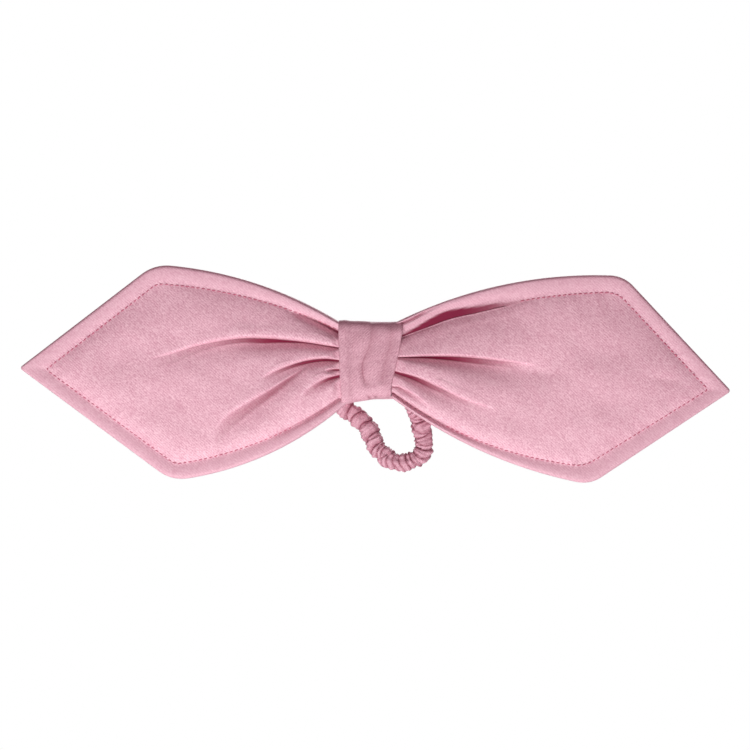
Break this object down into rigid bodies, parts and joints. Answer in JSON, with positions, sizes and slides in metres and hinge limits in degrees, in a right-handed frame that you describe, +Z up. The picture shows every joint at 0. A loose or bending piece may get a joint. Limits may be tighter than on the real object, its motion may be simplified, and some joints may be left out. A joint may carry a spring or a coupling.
{
  "type": "bow hair tie",
  "caption": "Satin hair bow with two pointed, topstitched wings gathered into a wrapped knot on a ruched elastic loop that holds a ponytail.",
  "frame": {"origin": "middle of the knot's flat back face, which seats on the hair", "axes": "+X to the right of someone facing the bow, +Y from the knot's back towards the hair, +Z up; the bow's front faces -Y"},
  "size_m": [0.2814, 0.0196, 0.0871],
  "materials": {
    "satin": "pale pink satin, fine twill face",
    "thread": "matched pink sewing thread",
    "interlining": "white stiffening cloth",
    "elastic": "white braided elastic"
  },
  "bodies": {
    "knot": {"knot_band": "satin", "band_closing_stitches": "thread", "front_pleats": "satin", "back_pleats": "satin", "gathering_thread": "thread"},
    "left_wing": {"left_front_panel": "satin", "left_back_panel": "satin", "left_interlining": "interlining", "left_edge_seam": "thread", "left_topstitch_front": "thread", "left_topstitch_back": "thread"},
    "right_wing": {"right_front_panel": "satin", "right_back_panel": "satin", "right_interlining": "interlining", "right_edge_seam": "thread", "right_topstitch_front": "thread", "right_topstitch_back": "thread"},
    "loop": {"casing_run": "satin", "elastic_run": "elastic", "elastic_whipping": "thread", "casing_join_stitches": "thread", "casing_left_limb": "satin", "casing_right_limb": "satin", "elastic_left_limb": "elastic", "elastic_right_limb": "elastic"},
    "loop_end": {"casing_end": "satin", "elastic_end": "elastic"}
  },
  "joints": [
    {"name": "left_wing_bend", "type": "hinge", "parent": "knot", "child": "left_wing", "pos_m": [-0.0182, -0.0139, 0], "axis": [0, 0, 1], "range_deg": [-30, 75], "stiffness_Nm_per_rad": 0.02},
    {"name": "right_wing_bend", "type": "hinge", "parent": "knot", "child": "right_wing", "pos_m": [0.0194, -0.0139, 0], "axis": [0, 0, -1], "range_deg": [-30, 75], "stiffness_Nm_per_rad": 0.02},
    {"name": "loop_swing", "type": "hinge", "parent": "knot", "child": "loop", "pos_m": [0, -0.0057, 0], "axis": [1, 0, 0], "range_deg": [0, 150]},
    {"name": "loop_stretch", "type": "slide", "parent": "loop", "child": "loop_end", "axis": [0, 0, -1], "range_m": [0, 0.04], "stiffness_N_per_m": 150, "deforming": ["casing_left_limb", "casing_right_limb", "elastic_left_limb", "elastic_right_limb"]}
  ]
}
